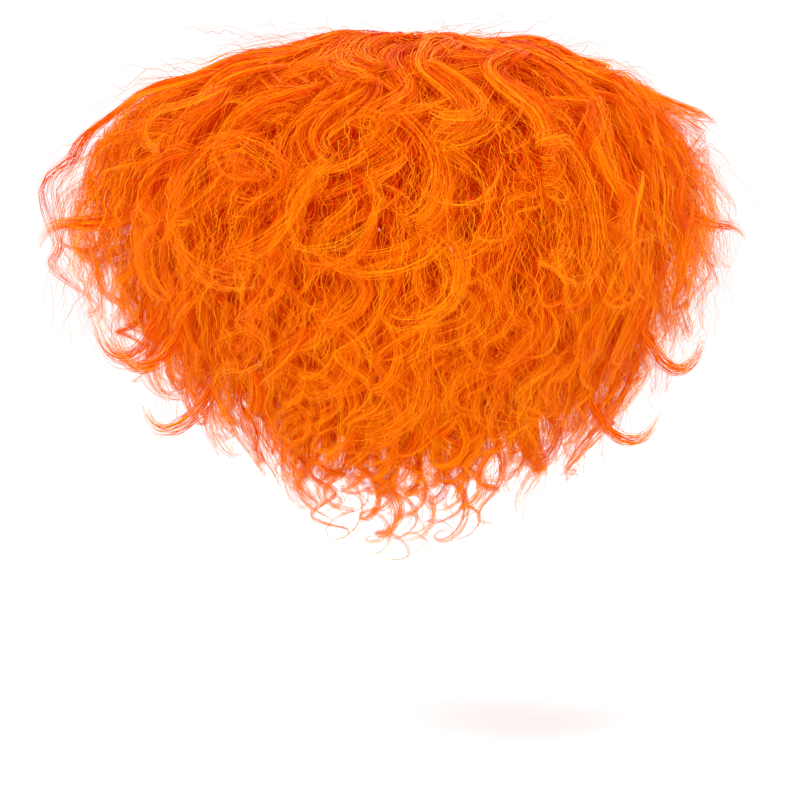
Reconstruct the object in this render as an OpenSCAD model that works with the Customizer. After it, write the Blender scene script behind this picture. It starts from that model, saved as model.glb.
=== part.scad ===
// Full, wavy costume wig on a sewn open cap, in millimetres.
// The origin is the middle of the wearer's head, level with the tops of the ears.
// +Z is up, the face looks along +Y and the back of the wig along -Y.

/* [Head and cap] */
// Width of the head that the cap fits, over the ears
head_w = 156; // [130:1:188]
// Length of that head, forehead to back
head_l = 194; // [162:1:233]
// Height of the crown above the tops of the ears
crown_h = 125; // [104:1:150]
// Width of each weft's sewn band
track_w = 4; // [3:0.1:5]

/* [Hair] */
// Width of the hair from side to side
hair_w = 406; // [350:1:488]
// How far the hair reaches behind the middle of the head
hair_back = 172; // [150:1:206]
// How far the hair reaches in front of the middle of the head
hair_front = 140; // [132:1:168]
// How far the longest nape locks hang below the ear line
hair_drop = 150; // [125:1:180]

/* [Nape adjusters] */
// Height of the elastic nape band
band_w = 18; // [15:0.5:21.6]
// Width of each sliding elastic strap
strap_w = 7; // [5.8:0.1:8.4]
// How far each strap slides round the nape, in degrees
travel = 20; // [16:1:24]

/* [Hidden] */

half_w = head_w / 2;
half_l = head_l / 2;
chin_depth = 1.2 * crown_h; // how fast the head narrows below the ear line

// Sewn layers, by their distance out from the head
lining_in = 0;
lining_out = 0.9;
net_in = 1.3;
net_out = 2;
strip_in = 2.6;
strip_out = 3.4;
track_in = 4.2;
track_out = 5.4;
hair_root = 7;

side_step = 7.5; // one step round the head, in degrees
net_rise = 48; // the crown net starts this far up the head
rows = 9;
low_row = -28;
top_row = 80;

// ---- The head's own form, as points ----
// turn: 0 is the right ear, 90 the face, 180 the left ear, 270 the nape.
// rise: degrees up from the ear line, negative towards the nape.
function cap_height(rise) = rise >= 0 ? crown_h : chin_depth;
function head_point(turn, rise, out) = [
  (half_w + out) * cos(rise) * cos(turn),
  (half_l + out) * cos(rise) * sin(turn),
  (cap_height(rise) + out) * sin(rise)
];
function oval(along_x, along_y, turn) =
  1 / sqrt(pow(cos(turn) / along_x, 2) + pow(sin(turn) / along_y, 2));

// ---- Closed strips and patches that lie on the head ----
function strip_faces(count) = [
  for (i = [0 : count - 2], k = [0 : 3], half = [0 : 1])
    let (a = 4 * i + k, b = 4 * i + (k + 1) % 4)
      half == 0 ? [a, b, b + 4] : [a, b + 4, a + 4]
];

// A strip with its low and high edges given at each turn, closed at both ends.
module head_patch(turns, lows, highs, inner, outer) {
  last = len(turns) - 1;
  points = [
    for (i = [0 : last], corner = [[0, 0], [0, 1], [1, 1], [1, 0]])
      head_point(
        turns[i],
        corner[0] == 0 ? lows[i] : highs[i],
        corner[1] == 0 ? inner : outer
      )
  ];
  ends = [[3, 2, 1, 0], [4 * last, 4 * last + 1, 4 * last + 2, 4 * last + 3]];
  polyhedron(points = points, faces = concat(strip_faces(last + 1), ends), convexity = 8);
}

// A tape that runs up the head at one turn, of even width.
module upright_tape(turn, low, high, width, inner, outer) {
  steps = ceil((high - low) / side_step);
  points = [
    for (
      i = [0 : steps],
      corner = [[-1, 0], [1, 0], [1, 1], [-1, 1]]
    )
      let (
        rise = low + (high - low) * i / steps,
        middle = head_point(turn, rise, corner[1] == 0 ? inner : outer),
        along_rim = [-half_w * sin(turn), half_l * cos(turn), 0]
      )
        middle + corner[0] * width / 2 * along_rim / norm(along_rim)
  ];
  ends = [[3, 2, 1, 0], [4 * steps, 4 * steps + 1, 4 * steps + 2, 4 * steps + 3]];
  polyhedron(points = points, faces = concat(strip_faces(steps + 1), ends), convexity = 8);
}

function turns_between(first, last, step) =
  let (steps = ceil((last - first) / step))
    [for (i = [0 : steps]) first + (last - first) * i / steps];

// Draws a piece on the wearer's right, or its mirror image on the left.
module on_side(mirrored) {
  mirror([mirrored ? 1 : 0, 0, 0]) children();
}

// ---- Cap ----
net_sides = 48;
net_rings = 6;

// The crown net is a closed shell: rings from its rim to a point at the crown.
module crown_net() {
  ring_rises = [for (r = [0 : net_rings - 1]) net_rise + (90 - net_rise) * r / net_rings];
  skins = [net_out, net_in];
  points = concat(
    [
      for (out = skins, rise = ring_rises, i = [0 : net_sides - 1])
        head_point(360 * i / net_sides, rise, out)
    ],
    [for (out = skins) head_point(0, 90, out)]
  );
  skin_size = net_rings * net_sides;
  tops = [2 * skin_size, 2 * skin_size + 1];
  faces = concat(
    [
      for (skin = [0, 1], r = [0 : net_rings - 2], i = [0 : net_sides - 1], half = [0, 1])
        let (
          j = (i + 1) % net_sides,
          a = skin * skin_size + r * net_sides + i,
          b = skin * skin_size + r * net_sides + j,
          one = half == 0 ? [a, a + net_sides, b + net_sides] : [a, b + net_sides, b]
        )
          skin == 0 ? one : [one[2], one[1], one[0]]
    ],
    [
      for (skin = [0, 1], i = [0 : net_sides - 1])
        let (
          j = (i + 1) % net_sides,
          a = skin * skin_size + (net_rings - 1) * net_sides + i,
          b = skin * skin_size + (net_rings - 1) * net_sides + j
        )
          skin == 0 ? [a, tops[0], b] : [b, tops[1], a]
    ],
    [
      for (i = [0 : net_sides - 1], half = [0, 1])
        let (j = (i + 1) % net_sides)
          half == 0 ? [i, j, skin_size + j] : [i, skin_size + j, skin_size + i]
    ]
  );
  color("Peru") polyhedron(points = points, faces = faces, convexity = 8);
}

hairline = 9; // rise of the front band's lower edge
front_band_rise = 5;
tape_gap = 0.8;
strip_w = 12;
nape_edge = -30; // rise where the back strips end, just above the nape band

parting_w = 16;

module parting_tape() {
  low = hairline + front_band_rise + tape_gap;
  color("Wheat") upright_tape(90, low, net_rise - tape_gap, parting_w, strip_in, strip_out);
}

module cap_strip(turn, low) {
  color("DimGray") upright_tape(turn, low, net_rise - tape_gap, strip_w, strip_in, strip_out);
}

back_turn = 28; // spacing of the back strips round the head
side_turn = 62;
temple_turn = 116;
side_low = -17; // where the strips behind the ears end
temple_low = 11;
module strip_back_centre() { cap_strip(270, nape_edge); }
module strip_back_left() { cap_strip(270 - back_turn, nape_edge); }
module strip_back_right() { cap_strip(270 + back_turn, nape_edge); }
module strip_side_left() { cap_strip(270 - side_turn, side_low); }
module strip_side_right() { cap_strip(270 + side_turn, side_low); }
module strip_temple_left() { cap_strip(270 - temple_turn, temple_low); }
module strip_temple_right() { cap_strip(270 + temple_turn, temple_low); }

module even_band(first, last, low, high, inner, outer) {
  turns = turns_between(first, last, side_step);
  head_patch(turns, [for (t = turns) low], [for (t = turns) high], inner, outer);
}

front_end = 46; // the front band runs this far round from the face on each side
module front_band() {
  color("Black")
    even_band(90 - front_end, 90 + front_end, hairline, hairline + front_band_rise, net_in, net_out);
}

lining_end = 30; // the lining runs this far round from the face on each side
lining_inset = 0.4; // in degrees, from the front band's edges
module forehead_lining() {
  color("Tan")
    even_band(
      90 - lining_end, 90 + lining_end,
      hairline + lining_inset, hairline + front_band_rise - lining_inset, lining_in, lining_out
    );
}

// The ear tab hangs in front of the ear: a rounded tongue of fabric.
tab_first = 16;
tab_last = 43;
tab_top = 8;
tab_depth = 26; // degrees from its top to its tip
tab_blunt = 0.06; // keeps the tab's two ends from closing to a point
function tab_low(turn) =
  let (across = (turn - tab_first) / (tab_last - tab_first) * 2 - 1)
    tab_top - tab_depth * sqrt(max(tab_blunt, 1 - across * across));
module ear_tab(mirrored) {
  turns = turns_between(tab_first, tab_last, side_step / 2);
  color("Sienna")
    on_side(mirrored)
      head_patch(turns, [for (t = turns) tab_low(t)], [for (t = turns) tab_top], net_in, net_out);
}
module ear_tab_left() { ear_tab(true); }
module ear_tab_right() { ear_tab(false); }

// The elastic binding climbs from the nape band, behind the ear and over it to the tab.
binding_first = -36;
binding_last = 15;
binding_rise = 5;
binding_start = -27; // rise of its lower edge behind the ear
binding_climb = 30; // how far it climbs to pass over the ear
binding_pace = 1.15; // it has climbed before it meets the tab
function binding_low(turn) =
  let (climb = (turn - binding_first) / (binding_last - binding_first))
    binding_start + binding_climb * sin(90 * min(1, binding_pace * climb));
module ear_binding(mirrored) {
  turns = turns_between(binding_first, binding_last, side_step / 2);
  lows = [for (t = turns) binding_low(t)];
  color("Black")
    on_side(mirrored)
      head_patch(turns, lows, [for (low = lows) low + binding_rise], net_in, net_out);
}
module ear_binding_left() { ear_binding(true); }
module ear_binding_right() { ear_binding(false); }

// ---- Nape band and its adjusters: round bands about one upright axis ----
band_top = (chin_depth + strip_out) * sin(nape_edge) - tape_gap;
band_mid = band_top - band_w / 2;
nape_shrink = cos(asin(band_mid / chin_depth));
nape_bend = pow(half_w, 2) / half_l * nape_shrink; // the head's own bend at the nape
nape_y = nape_bend - half_l * nape_shrink; // the adjusters' turning axis
band_clearance = 6.4; // room between the head and the band for the adjusters
band_in = nape_bend + band_clearance;
band_thick = 1;
patch_thick = 0.8;
slide_gap = 0.2;
hook_thick = 0.8;
strap_thick = 1;
casing_wall = 0.8;
casing_gap = 0.4;

patch_in = band_in - patch_thick;
hook_out = patch_in - slide_gap;
strap_out = hook_out - hook_thick;
strap_in = strap_out - strap_thick;

// A round band centred on band_mid, from one angle off the nape's middle to another.
module nape_arc(inner, outer, height, first, last) {
  translate([0, nape_y, band_mid - height / 2])
    rotate([0, 0, 270 + first])
      rotate_extrude(angle = last - first, $fn = 180)
        translate([inner, 0]) square([outer - inner, height]);
}

band_end = 80;
module nape_band() {
  color("Black") nape_arc(band_in, band_in + band_thick, band_w, -band_end, band_end);
}

hook_first = 31; // the hook patch at its loosest, in degrees off the nape's middle
patch_first = hook_first - travel - 2;
label_half = min(6, patch_first - 2); // half the label's spread, clear of the loop patches
label_thick = 0.4;
label_drop = 8; // how far the label hangs below the band
label_inset = 3; // how far the label's sewn end lies below the band's top edge
module care_label() {
  color("White")
    translate([0, nape_y, band_mid - band_w / 2 - label_drop])
      rotate([0, 0, 270 - label_half])
        rotate_extrude(angle = 2 * label_half, $fn = 180)
          translate([band_in - label_thick, 0]) square([label_thick, label_drop + band_w - label_inset]);
}

hook_last = 41; // where the hook patch ends
strap_first = hook_first - 1;
strap_last = 72;
casing_first = hook_last + 4;
casing_last = strap_last + 3;
patch_margin = 3; // the loop patch is this much wider than the strap

module loop_patch(mirrored) {
  color("SlateGray")
    on_side(mirrored)
      nape_arc(patch_in, band_in, strap_w + patch_margin, patch_first, casing_first - 1);
}
module loop_patch_left() { loop_patch(true); }
module loop_patch_right() { loop_patch(false); }

module strap_casing(mirrored) {
  height = strap_w + 2 * (casing_gap + casing_wall);
  inner = strap_in - casing_gap - casing_wall;
  color("SaddleBrown")
    on_side(mirrored)
      difference() {
        nape_arc(inner, band_in, height, casing_first, casing_last);
        nape_arc(
          inner + casing_wall, band_in - casing_wall, height - 2 * casing_wall,
          casing_first - 1, casing_last + 1
        );
      }
}
module strap_casing_left() { strap_casing(true); }
module strap_casing_right() { strap_casing(false); }

module strap(mirrored) {
  color("Gainsboro")
    on_side(mirrored) nape_arc(strap_in, strap_out, strap_w, strap_first, strap_last);
}
module strap_left() { strap(true); }
module strap_right() { strap(false); }

module hook_patch(mirrored) {
  color("Ivory")
    on_side(mirrored) nape_arc(strap_out, hook_out, strap_w, hook_first, hook_last);
}
module hook_patch_left() { hook_patch(true); }
module hook_patch_right() { hook_patch(false); }

// ---- Wefts: each row is a sewn band with its curtain of hair ----
// Rows 1 to 3 cross the nape, rows 4 and 5 run from temple to temple round the back,
// and rows 6 to 9 go right round, open only at the parting.
row_reach = [52, 62, 72, 104, 128, 174, 173, 170, 160];
row_locks = [5, 6, 6, 9, 10, 13, 13, 12, 12];

crown_rise = 60; // the bands above this rise lean on the flatter crown
crown_spread = 1.15; // and so take this many times the degrees for their width

function row_share(row) = (row - 1) / (rows - 1);
function row_rise(share) = low_row + (top_row - low_row) * share;

module track_row(row) {
  rise = row_rise(row_share(row));
  reach = row_reach[row - 1];
  half_rise = track_w / 2 / crown_h * 180 / PI * (rise > crown_rise ? crown_spread : 1);
  color("OrangeRed")
    even_band(270 - reach, 270 + reach, rise - half_rise, rise + half_rise, track_in, track_out);
}
module track_row_1() { track_row(1); }
module track_row_2() { track_row(2); }
module track_row_3() { track_row(3); }
module track_row_4() { track_row(4); }
module track_row_5() { track_row(5); }
module track_row_6() { track_row(6); }
module track_row_7() { track_row(7); }
module track_row_8() { track_row(8); }
module track_row_9() { track_row(9); }

// A hair's path: out from its root, over, and down. share is 0 at the nape row and 1 at
// the crown, along is 0 at the root and 1 at the tip. Hair rooted at the front is swept
// to the sides of the face as it falls.
side_lean = 0.06; // the hair stands this share fuller on the left
face_half = 38; // the face stays open this many degrees to each side
sweep_reach = 110;
fall_mid = 0.75; // the sweep is done by this share of the path
waves = 2; // how often a lock waves along its length
wave_size = 4;
wave_swing = 1 / 3; // degrees that a lock sways for each millimetre that it waves out

// The path's four places, root, shoulder, fall and tip. Each reach is a share of the room
// between the cap and the hair's outline, low for the nape row and high for the crown row.
shoulder_reach = [0.12, 0.52];
shoulder_lift = [3, 78]; // height of the shoulder above the root
fall_reach = [0.1, 1.475];
fall_bend = 0.9; // how the fall's reach grows from row to row
fall_height = [-90, 115];
tip_reach = [-0.04, 0.88];
tip_reach_bend = 1.5; // how quickly the tips draw in toward the nape
tip_high = -35; // height of the crown row's tips
tip_low_bend = 1.6; // how quickly the tips drop toward the nape

function between(ends, part) = ends[0] + (ends[1] - ends[0]) * part;
function smooth(x) = let (c = max(0, min(1, x))) c * c * (3 - 2 * c);
function swept(turn, along) =
  let (
    signed = turn > 270 ? turn - 360 : turn,
    right = signed < 90,
    away = right ? 90 - signed : signed - 90,
    kept = away >= sweep_reach
      ? away
      : away + (face_half + away * (1 - face_half / sweep_reach) - away) * smooth(along / fall_mid)
  )
    right ? 90 - kept : 90 + kept;
function bezier(a, b, c, d, x) =
  a * pow(1 - x, 3) + 3 * b * x * pow(1 - x, 2) + 3 * c * x * x * (1 - x) + d * pow(x, 3);
function hair_reach(turn) =
  let (side = hair_w / 2 * (1 - side_lean * cos(turn)))
    oval(side, sin(turn) > 0 ? hair_front : hair_back, turn);
function hair_point(turn, share, along) =
  let (
    t = swept(turn, along),
    rise = row_rise(share),
    root = head_point(turn, rise, hair_root),
    root_r = norm([root[0], root[1]]),
    cap_r = oval(half_w + hair_root, half_l + hair_root, t),
    spread = hair_reach(t) - cap_r,
    up = max(0, share),
    down = max(0, 1 - share),
    r1 = root_r + between(shoulder_reach, share) * spread,
    r2 = cap_r + between(fall_reach, pow(up, fall_bend)) * spread,
    r3 = cap_r + between(tip_reach, 1 - pow(down, tip_reach_bend)) * spread,
    low = tip_high - (hair_drop + tip_high) * pow(down, tip_low_bend),
    wave = wave_size * along * sin(360 * waves * along),
    sway = t + wave * wave_swing,
    r = bezier(root_r, r1, r2, r3, along) + wave,
    z = bezier(
      root[2], root[2] + between(shoulder_lift, share), between(fall_height, share), low, along
    )
  )
    [r * cos(sway), r * sin(sway), z];

lock_rings = 10;
lock_fill = 0.42; // share of the room between two rows that the hair holds
lock_gap = 3; // degrees left free between two locks
root_girth = 0.4; // a lock's girth at its root, as a share of its full girth
tip_girth = 0.35;
taper = 0.25; // a lock thins over this share of its length at each end
lock_trim = 0.05; // every second lock is this share shorter
function lock_girth(along) = min(
  1,
  between([root_girth, 1], along / taper),
  between([tip_girth, 1], (1 - along) / taper)
);

// One lock: six-sided rings from root to tip.
module lock(middle, width, share, length) {
  half_share = lock_fill / (rows - 1) / 2;
  points = [
    for (
      ring = [0 : lock_rings - 1],
      corner = [[-1, -1], [0, -1], [1, -1], [1, 1], [0, 1], [-1, 1]]
    )
      let (
        along = length * ring / (lock_rings - 1),
        girth = lock_girth(along / length)
      )
        hair_point(
          middle + corner[0] * width / 2 * (0.5 + 0.5 * girth),
          share + corner[1] * half_share * girth,
          along
        )
  ];
  faces = concat(
    [
      for (ring = [0 : lock_rings - 2], k = [0 : 5], half = [0, 1])
        let (a = 6 * ring + k, b = 6 * ring + (k + 1) % 6)
          half == 0 ? [b, a, a + 6] : [b, a + 6, b + 6]
    ],
    [[0, 1, 4], [0, 4, 5], [1, 2, 3], [1, 3, 4]],
    [for (f = [[4, 1, 0], [5, 4, 0], [3, 2, 1], [4, 3, 1]]) [for (i = f) i + 6 * (lock_rings - 1)]]
  );
  polyhedron(points = points, faces = faces, convexity = 8);
}

module hair_row(row) {
  reach = row_reach[row - 1];
  count = row_locks[row - 1];
  pitch = 2 * reach / count;
  color(row % 2 == 0 ? "Orange" : "DarkOrange")
    for (i = [0 : count - 1])
      lock(270 - reach + pitch * (i + 0.5), pitch - lock_gap, row_share(row), 1 - lock_trim * (i % 2));
}
module hair_row_1() { hair_row(1); }
module hair_row_2() { hair_row(2); }
module hair_row_3() { hair_row(3); }
module hair_row_4() { hair_row(4); }
module hair_row_5() { hair_row(5); }
module hair_row_6() { hair_row(6); }
module hair_row_7() { hair_row(7); }
module hair_row_8() { hair_row(8); }
module hair_row_9() { hair_row(9); }

crown_net();
parting_tape();
strip_back_centre();
strip_back_left();
strip_back_right();
strip_side_left();
strip_side_right();
strip_temple_left();
strip_temple_right();
front_band();
forehead_lining();
ear_tab_left();
ear_tab_right();
ear_binding_left();
ear_binding_right();
nape_band();
care_label();
loop_patch_left();
loop_patch_right();
strap_casing_left();
strap_casing_right();
strap_left();
strap_right();
hook_patch_left();
hook_patch_right();
track_row_1();
track_row_2();
track_row_3();
track_row_4();
track_row_5();
track_row_6();
track_row_7();
track_row_8();
track_row_9();
hair_row_1();
hair_row_2();
hair_row_3();
hair_row_4();
hair_row_5();
hair_row_6();
hair_row_7();
hair_row_8();
hair_row_9();
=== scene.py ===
import math

import bpy
import numpy as np
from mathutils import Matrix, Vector


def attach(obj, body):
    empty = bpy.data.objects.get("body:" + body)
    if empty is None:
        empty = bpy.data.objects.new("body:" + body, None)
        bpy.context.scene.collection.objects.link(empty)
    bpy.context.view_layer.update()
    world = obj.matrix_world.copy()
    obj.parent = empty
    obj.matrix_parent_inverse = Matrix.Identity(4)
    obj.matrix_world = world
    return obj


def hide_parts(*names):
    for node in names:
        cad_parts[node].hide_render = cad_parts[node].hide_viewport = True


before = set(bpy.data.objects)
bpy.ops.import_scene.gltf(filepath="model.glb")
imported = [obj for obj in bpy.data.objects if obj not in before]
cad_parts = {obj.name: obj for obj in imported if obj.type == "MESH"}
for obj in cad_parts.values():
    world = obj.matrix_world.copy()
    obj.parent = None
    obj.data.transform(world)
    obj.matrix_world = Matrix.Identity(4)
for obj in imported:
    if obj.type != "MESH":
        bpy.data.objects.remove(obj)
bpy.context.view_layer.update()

MM = 0.001
TAU = 2 * math.pi
rng = np.random.default_rng(20240)

# ---- Driving sizes, in millimetres and degrees, as in the CAD ----
HALF_W, HALF_L, CROWN_H = 78.0, 97.0, 125.0
CHIN_DEPTH = 1.2 * CROWN_H
LOW_ROW, TOP_ROW, ROWS = -28.0, 80.0, 9
# How far each weft runs to either side of the nape, in degrees
ROW_REACH = [52, 62, 72, 104, 128, 174, 173, 170, 160]
HAIR_W, HAIR_BACK, HAIR_FRONT = 406.0, 172.0, 140.0
HAIR_ROOT, CAP_OUT = 5.0, 7.0
SIDE_LEAN = 0.06


def smooth(x):
    """Eases from 0 to 1."""
    c = np.clip(x, 0, 1)
    return c * c * (3 - 2 * c)


def unit(v):
    return v / np.maximum(np.linalg.norm(v, axis=-1, keepdims=True), 1e-9)


# ---- The head and the hair's paths, for arrays of places ----
def head_point(turn, rise, out):
    """Points out from the head. turn 0 is the right ear, 90 the face, 270 the nape."""
    t, r = np.radians(turn), np.radians(rise)
    height = np.where(rise >= 0, CROWN_H, CHIN_DEPTH)
    return np.stack(
        [
            (HALF_W + out) * np.cos(r) * np.cos(t),
            (HALF_L + out) * np.cos(r) * np.sin(t),
            (height + out) * np.sin(r),
        ],
        axis=-1,
    )


def oval(along_x, along_y, turn):
    """How far an oval reaches at each turn."""
    t = np.radians(turn)
    return 1 / np.sqrt((np.cos(t) / along_x) ** 2 + (np.sin(t) / along_y) ** 2)


# Hair rooted near the face is swept aside as it falls
FACE_HALF, SWEEP_REACH, SWEEP_START, SWEEP_END = 38.0, 110.0, 0.2, 0.9
# Hair rises from its root, stands out at its shoulder, and falls from there
LEAST_LIFT, LIFT = 3.0, 66.0
SHOULDER_LEAST, SHOULDER_GAIN = 0.12, 0.4
FALL_LEAST, FALL_GAIN, FALL_BEND = 0.1, 1.375, 0.9
FALL_BASE, FALL_CLIMB = -90.0, 183.0
# The fringe lies flatter: within these degrees of the face and below this share of the crown
FRINGE_HALF, FRINGE_FADE, FRINGE_FLAT = 55, 40, 0.9
FRINGE_TOP, FRINGE_DEPTH = 0.97, 0.3
# How low and how far out each row's tips reach, by its share of the way to the crown
TIP_SHARE = [0.0, 0.25, 0.45, 0.62, 0.70, 1.0]
TIP_LOW = [-138.0, -116.0, -92.0, -71.0, -39.0, -20.0]
TIP_REACH = [0.0, 0.18, 0.36, 0.54, 0.78, 0.93]


def from_face(turn):
    """Degrees round the head from the middle of the face, positive on the wearer's left."""
    return np.where(turn > 270, turn - 360, turn) - 90


def swept(turn, along, sweep=1.0):
    """Hair rooted at the front is swept to the sides of the face as it falls."""
    signed = from_face(turn)
    away = np.abs(signed)
    target = FACE_HALF + away * (1 - FACE_HALF / SWEEP_REACH)
    gone = smooth((along - SWEEP_START) / (SWEEP_END - SWEEP_START))
    away = away + sweep * np.where(away < SWEEP_REACH, (target - away) * gone, 0)
    return np.where(signed < 0, 90 - away, 90 + away)


def bezier(a, b, c, d, x):
    return a * (1 - x) ** 3 + 3 * b * x * (1 - x) ** 2 + 3 * c * x * x * (1 - x) + d * x**3


def hair_field(turn, share, along, sweep=1.0):
    """Where hair of one row passes: share 0 is the nape row and 1 the crown, along 0 the root."""
    t = swept(turn, along, sweep)
    rise = LOW_ROW + (TOP_ROW - LOW_ROW) * share
    root = head_point(turn, rise, HAIR_ROOT)
    root_r = np.hypot(root[..., 0], root[..., 1])
    cap_r = oval(HALF_W + CAP_OUT, HALF_L + CAP_OUT, t)
    ct, st = np.cos(np.radians(t)), np.sin(np.radians(t))
    side = HAIR_W / 2 * (1 - SIDE_LEAN * ct)
    reach = oval(side, np.where(st > 0, HAIR_FRONT, HAIR_BACK), t)
    spread = reach - cap_r
    high = np.maximum(share, 0)
    near_face = smooth((FRINGE_HALF - np.abs(from_face(turn))) / FRINGE_FADE)
    fringe = near_face * smooth((FRINGE_TOP - share) / FRINGE_DEPTH)
    shoulder_r = root_r + (SHOULDER_LEAST + SHOULDER_GAIN * share) * spread
    fall_r = cap_r + (FALL_LEAST + FALL_GAIN * high**FALL_BEND) * spread
    tip_r = cap_r + np.interp(share, TIP_SHARE, TIP_REACH) * spread
    r = bezier(root_r, shoulder_r, fall_r, tip_r, along)
    lift = (LEAST_LIFT + LIFT * share) * (1 - FRINGE_FLAT * fringe)
    root_z = root[..., 2]
    fall_z = FALL_BASE + FALL_CLIMB * share
    z = bezier(root_z, root_z + lift, fall_z, np.interp(share, TIP_SHARE, TIP_LOW), along)
    return np.stack([r * ct, r * st, z], axis=-1)


# Any way that no hair runs along, to start each path's sideways direction from
START_WAY = [0.31, 0.2, 0.93]


def frames(points):
    """Tangent, sideways and outward directions along each path of (n, k, 3) points."""
    tangent = unit(np.gradient(points, axis=1))
    side = np.empty_like(points)
    side[:, 0] = unit(np.cross(tangent[:, 0], START_WAY))
    for k in range(1, points.shape[1]):
        t = tangent[:, k]
        s = side[:, k - 1]
        side[:, k] = unit(s - t * np.sum(s * t, axis=-1, keepdims=True))
    return tangent, side, np.cross(tangent, side)


def lengths(points):
    """Distance from the root along each path."""
    steps = np.linalg.norm(np.diff(points, axis=1), axis=-1)
    return np.concatenate([np.zeros((len(points), 1)), np.cumsum(steps, axis=1)], axis=1)


def ripples(draw, count, run, waves, size):
    """Smooth random swings along each path: (count, k, 2). waves are wavelengths in mm."""
    total = np.zeros((*run.shape, 2))
    for wave in waves:
        stretch = draw.uniform(0.75, 1.35, (count, 1, 2))
        start = draw.uniform(0, TAU, (count, 1, 2))
        total += np.sin(TAU * run[..., None] / (wave * stretch) + start)
    return total * size / math.sqrt(len(waves))


# ---- The room that the hair keeps to ----
ROOM_LOW = np.array([-234.0, -183.0, -169.0])
ROOM_HIGH = np.array([208.0, 127.0, 174.0])
SOFT_EDGE = 12.0
DOME_TOP, DOME_FALL, DOME_REACH = 158.0, 32.0, 150.0
DOME_SOFT, PRESS_DEPTH = 32.0, 38.4
LUMP_HEIGHT, LUMP_FINE, LUMP_WIDE_X, LUMP_WIDE_Y = 2.4, 9.5, 23, 17


def under_crown(points):
    """Presses the top down to a low, lumpy dome that slopes toward the sides."""
    x, y, z = points[..., 0], points[..., 1], points[..., 2]
    lumps = np.sin(x / LUMP_FINE) + np.sin(x / LUMP_WIDE_X + y / LUMP_WIDE_Y)
    ceiling = DOME_TOP - DOME_FALL * (np.hypot(x, y) / DOME_REACH) ** 2 + LUMP_HEIGHT * lumps
    start = ceiling - DOME_SOFT
    over = np.maximum(z - start, 0)
    pressed = np.minimum(z, start) + PRESS_DEPTH * np.tanh(over / PRESS_DEPTH)
    return np.concatenate([points[..., :2], pressed[..., None]], axis=-1)


def kept_in(points):
    """Draws in whatever stands out past the wig's room, softly."""
    edge = ROOM_HIGH - SOFT_EDGE
    over = np.maximum(points - edge, 0)
    points = np.minimum(points, edge) + SOFT_EDGE * np.tanh(over / SOFT_EDGE)
    edge = ROOM_LOW + SOFT_EDGE
    under = np.maximum(edge - points, 0)
    return np.maximum(points, edge) - SOFT_EDGE * np.tanh(under / SOFT_EDGE)


# ---- Meshes of strands ----
def strand_object(name, verts, loops, starts, n, k, corners):
    """A mesh object of n strands from its arrays, with one column of its map to each strand."""
    mesh = bpy.data.meshes.new(name)
    mesh.vertices.add(len(verts))
    mesh.vertices.foreach_set("co", verts.astype(np.float32).ravel())
    mesh.loops.add(len(loops))
    mesh.loops.foreach_set("vertex_index", loops.astype(np.int32))
    mesh.polygons.add(len(starts))
    mesh.polygons.foreach_set("loop_start", starts.astype(np.int32))
    mesh.update(calc_edges=True)
    mesh.shade_smooth()
    strand = loops // (k * corners)
    step = loops % (k * corners) // corners
    corner = loops % corners
    uv = np.stack([(strand + 0.2 + 0.2 * corner) / n, 0.01 + 0.98 * step / (k - 1)], axis=-1)
    layer = mesh.uv_layers.new(name="OFBake")
    layer.data.foreach_set("uv", uv.astype(np.float32).ravel())
    obj = bpy.data.objects.new(name, mesh)
    bpy.context.scene.collection.objects.link(obj)
    return obj


def tube_mesh(name, points, radius, sides):
    """One mesh of closed thin tubes. points is (n, k, 3) in mm and radius (n, k) in mm."""
    n, k = points.shape[:2]
    _, side, out = frames(points)
    angles = TAU * np.arange(sides) / sides
    ring = (
        side[:, :, None] * np.cos(angles)[None, None, :, None]
        + out[:, :, None] * np.sin(angles)[None, None, :, None]
    )
    verts = (points[:, :, None] + ring * radius[..., None, None]).reshape(-1, 3) * MM
    base = (np.arange(n)[:, None, None] * k + np.arange(k - 1)[None, :, None]) * sides
    a = base + np.arange(sides)
    b = base + (np.arange(sides) + 1) % sides
    quads = np.stack([a, b, b + sides, a + sides], axis=-1).reshape(-1, 4)
    first = np.arange(n) * k * sides
    last = first + (k - 1) * sides
    corner = np.arange(sides)[None]
    caps = np.concatenate([first[:, None] + corner[:, ::-1], last[:, None] + corner])
    loops = np.concatenate([quads.ravel(), caps.ravel()])
    starts = np.concatenate(
        [np.arange(len(quads)) * 4, len(quads) * 4 + np.arange(len(caps)) * sides]
    )
    return strand_object(name, verts, loops, starts, n, k, sides)


def ribbon_mesh(name, strands, width, free):
    """One mesh of flat fibres, two corners wide. strands holds each place and the way across it."""
    n, k = strands.shape[:2]
    points = kept_in(strands[..., :3] if free else under_crown(strands[..., :3]))
    across = unit(strands[..., 3:]) * width[..., None]
    verts = np.stack([points - across, points + across], axis=2).reshape(-1, 3) * MM
    base = (np.arange(n)[:, None] * k + np.arange(k - 1)[None, :]) * 2
    quads = np.stack([base, base + 1, base + 3, base + 2], axis=-1).reshape(-1, 4)
    return strand_object(name, verts, quads.ravel(), np.arange(len(quads)) * 4, n, k, 2)


# ---- Paths of locks and strands ----
# A lock's curl grows over its first length in mm, then widens and tightens toward its tip
CURL_GROWS, TIP_FROM, TIP_TIGHTENS = 75, 0.45, 0.4
CURL_AT_FIRST, CURL_AT_TIP = 0.75, 0.55
TOGETHER = 1.1
BEND_WAVES, BEND_SIZE = [170, 110], 5
# A bundle is narrow at its root, fullest by this share of its length, and thins from this share on
ROOT_FULL, FULL_BY, THIN_FROM = 0.4, 0.25, 0.6
TWIST, SETTLE_OVER, TILT = 2, 50, 0.5
FIBRE_TWIST = 2.5
STRAND_TAPER = 0.65


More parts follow.
